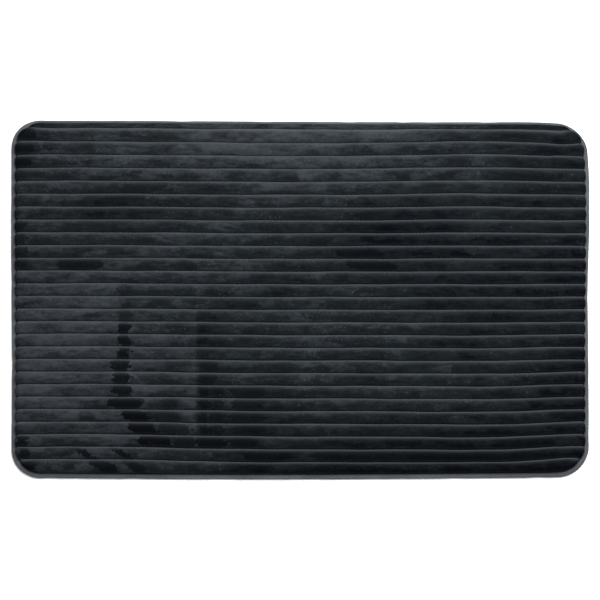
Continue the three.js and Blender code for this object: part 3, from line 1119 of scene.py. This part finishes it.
spun, tree, place = start_material("polyester_thread_spun")
twist = add(tree, "TexWave", {"Vector": place, "Scale": 1 / TWIST / math.pi, "Distortion": 0.5},
            out="Fac", bands_direction="DIAGONAL")
# painted shade: the thread's colour follows the bump of its twist, darker in the grooves
dress(threads + [binding_seam], spun, {
    "Base Color": add(tree, "Mix", {0: twist, 6: linear("#1c1e21"), 7: linear("#2f3337")},
                      out=2, data_type="RGBA"),
    "Roughness": 0.75,
    "IOR": 1.57,
    "Sheen Weight": 0.1,
    "Normal": add(tree, "Bump", {"Strength": 0.5, "Distance": 0.1 * MM, "Height": twist})})

# %% [markdown]
# ## Memory foam
#
# Slow polyurethane foam is poured and cut: its cut face is a mass of open cells, cream when it
# is new and yellower where air and light have reached it. Cells are about 0.4 mm across and
# are drawn at 1.2 mm. The colour is darker in the hollow of each cell, as painted shade.

# %% Open-cell foam
FOAM_CELL = 1.2 * MM
AIRED = 125 * MM             # areas that yellowed more or less

open_cell, tree, place = start_material("polyurethane_foam_cut")
cells = add(tree, "TexVoronoi", {"Vector": place, "Scale": 1 / FOAM_CELL}, out="Distance")
aged = add(tree, "TexNoise", {"Vector": place, "Scale": 1 / AIRED}, out="Fac")
cream = add(tree, "Mix", {0: aged, 6: linear("#ece6d3"), 7: linear("#ddd0ad")}, out=2,
            data_type="RGBA")
# painted shade: the colour is darker where the cells' bump is low, in their hollows
pit_shade = add(tree, "MapRange", [cells, 0.0, 0.6, 0.7, 1.0])
dress([foam], open_cell, {
    "Base Color": add(tree, "VectorMath", {0: cream, "Scale": pit_shade}, operation="SCALE"),
    "Roughness": 0.95,
    "IOR": 1.5,
    "Specular IOR Level": 0.2,
    "Normal": add(tree, "Bump", {"Strength": 0.6, "Distance": 0.4 * MM, "Height": cells})})

# %% [markdown]
# ## Spunbond scrim
#
# The scrim is polypropylene fibre, blown into a thin web and welded at a regular grid of tiny
# points, like the cloth of a dust cover. The welds show as small flat dimples, here 2 mm apart,
# and the web between them as cloudy white.

# %% Spunbond
WELD_STEP = 2 * MM
WEB = 2.5 * MM               # thick and thin places in the web

spunbond, tree, place = start_material("polypropylene_spunbond_welded")
welds = add(tree, "TexVoronoi", {"Vector": place, "Scale": 1 / WELD_STEP, "Randomness": 0.0},
            out="Distance")
web = add(tree, "TexNoise", {"Vector": place, "Scale": 1 / WEB, "Detail": 4.0, "Roughness": 0.7},
          out="Fac")
dimple = add(tree, "MapRange", [welds, 0.2, 0.35])
dress([scrim], spunbond, {
    "Base Color": add(tree, "Mix", {0: web, 6: linear("#d6d7d6"), 7: linear("#f0f0ee")}, out=2,
                      data_type="RGBA"),
    "Roughness": 0.85,
    "IOR": 1.49,
    "Normal": add(tree, "Bump", {"Strength": 0.5, "Distance": 0.15 * MM, "Height": dimple})})

# %% [markdown]
# ## Woven backing
#
# The backing is a plain weave of dark polyester yarn: over one, under one. Two sets of waves at
# right angles give the hills of the yarns. Yarns lie 0.6 mm apart in truth and 1.4 mm here. The
# cloth was coated on its inner side, which leaves the outer one a little stiff and dull.

# %% Plain weave
YARN_STEP = 1.4 * MM
DUSTY = 33.3 * MM            # areas that took more or less dust

woven, tree, place = start_material("polyester_plain_weave_coated")
along_yarn, across_yarn = [
    add(tree, "TexWave", {"Vector": place, "Scale": 1 / YARN_STEP / math.pi}, out="Fac",
        bands_direction=direction) for direction in "XY"]
hills = add(tree, "Math", [along_yarn, across_yarn], operation="MULTIPLY")
dusty = add(tree, "TexNoise", {"Vector": place, "Scale": 1 / DUSTY, "Detail": 3.0}, out="Fac")
yarn = add(tree, "Mix", {0: dusty, 6: linear("#1c1e20"), 7: linear("#2b2e31")}, out=2,
           data_type="RGBA")
shaded = add(tree, "MapRange", [hills, 0.0, 1.0, 0.6, 1.3])
dress([backing], woven, {
    "Base Color": add(tree, "VectorMath", {0: yarn, "Scale": shaded}, operation="SCALE"),
    "Roughness": 0.85,
    "IOR": 1.57,
    "Normal": add(tree, "Bump", {"Strength": 0.6, "Distance": 0.25 * MM, "Height": hills})})

# %% [markdown]
# ## Printed grip dots
#
# Plastisol is a PVC paste, printed through a screen and baked. It comes out smooth and rubbery
# with a soft shine, and pulls up a faint orange-peel texture as it leaves the screen.

# %% Plastisol
PEEL = 1.1 * MM
SCUFF = 16.7 * MM

plastisol, tree, place = start_material("pvc_plastisol_screen_printed")
peel = add(tree, "TexNoise", {"Vector": place, "Scale": 1 / PEEL}, out="Fac")
scuffs = add(tree, "TexNoise", {"Vector": place, "Scale": 1 / SCUFF, "Detail": 4.0}, out="Fac")
dress([dots], plastisol, {
    "Base Color": add(tree, "Mix", {0: scuffs, 6: linear("#26282b"), 7: linear("#34373a")},
                      out=2, data_type="RGBA"),
    "Roughness": add(tree, "MapRange", [scuffs, 0.3, 0.7, 0.38, 0.6]),
    "IOR": 1.53,
    "Normal": add(tree, "Bump", {"Strength": 0.2, "Distance": 0.1 * MM, "Height": peel})})

# %% [markdown]
# ## What each cloth was cut to
#
# A sheet of cloth can't grow when it is sewn, so each keeps the size that it was cut to. The
# cover needs 0.70 m across the ribs for a mat 0.50 m wide, because it goes up and down over
# each of them. The binding is a strip 18.5 mm wide, folded in three, as long as the way round
# the mat. The scrim and the backing are flat.

print("four cloths: cover, binding, scrim and backing")

# %% [markdown]
# ## Floor, light and camera
#
# A dark soft thing shows best on a plain pale floor in even light. Most of the light comes from
# all round, from a white sky. One large disc of light stands above and behind, a little to the
# right: it grazes the back of every rib and helps the bright crease lines, which are mostly a
# highlight painted into the plush. The floor is a matt pale grey that comes out white in this
# light, so the mat seems to lie on white paper.
#
# The camera looks down at 82 degrees from far away through a very long lens, so that the mat's
# front and back come out almost the same length.

# %% Floor
FLOOR_HALF = 40.0
FLOOR_GAP = 0.2 * MM

floor_mesh = bpy.data.meshes.new("floor")
floor_mesh.from_pydata([(-FLOOR_HALF, -FLOOR_HALF, 0), (FLOOR_HALF, -FLOOR_HALF, 0),
                        (FLOOR_HALF, FLOOR_HALF, 0), (-FLOOR_HALF, FLOOR_HALF, 0)], [], [(0, 1, 2, 3)])
floor = bpy.data.objects.new("floor", floor_mesh)
bpy.context.scene.collection.objects.link(floor)
floor.location.z = -FLOOR_GAP
paper, tree, place = start_material("paper_seamless_matt")
dress([floor], paper, {"Base Color": linear("#cfcfcf"), "Roughness": 0.9, "IOR": 1.5})

# %% Light
world = bpy.data.worlds.new("studio")
world.use_nodes = True
world.node_tree.nodes["Background"].inputs["Color"].default_value = linear("#ffffff")
world.node_tree.nodes["Background"].inputs["Strength"].default_value = 1.15
bpy.context.scene.world = world

key_data = bpy.data.lights.new("key", "AREA")
key_data.shape = "DISK"
key_data.size = 1.1
key_data.energy = 80
key = bpy.data.objects.new("key", key_data)
bpy.context.scene.collection.objects.link(key)
key.location = (0.35, 0.6, 1.6)
key.rotation_euler = (-key.location).to_track_quat("-Z", "Y").to_euler()
key.visible_camera = False
print("key light of", key_data.energy, "W,", round(key.location.length, 2), "m away")

# %% Camera
CAMERA_ELEVATION = 82
LENS = 1000
SENSOR = 36
VIEW_WIDTH = 0.8313          # metres of floor across the picture
CAMERA_ASIDE = -0.5 * MM     # the mat lies this far off the middle of the picture

distance = VIEW_WIDTH / SENSOR * LENS
camera_data = bpy.data.cameras.new("camera")
camera_data.lens = LENS
camera_data.sensor_width = SENSOR
camera_data.clip_start = 1
camera_data.clip_end = 100
camera = bpy.data.objects.new("camera", camera_data)
bpy.context.scene.collection.objects.link(camera)
tilt = math.radians(90 - CAMERA_ELEVATION)
camera.location = (CAMERA_ASIDE, -distance * math.sin(tilt), distance * math.cos(tilt))
camera.rotation_euler = (tilt, 0, 0)
bpy.context.scene.camera = camera
bpy.context.scene.view_settings.view_transform = "Standard"
print("camera", round(distance, 2), "m away")
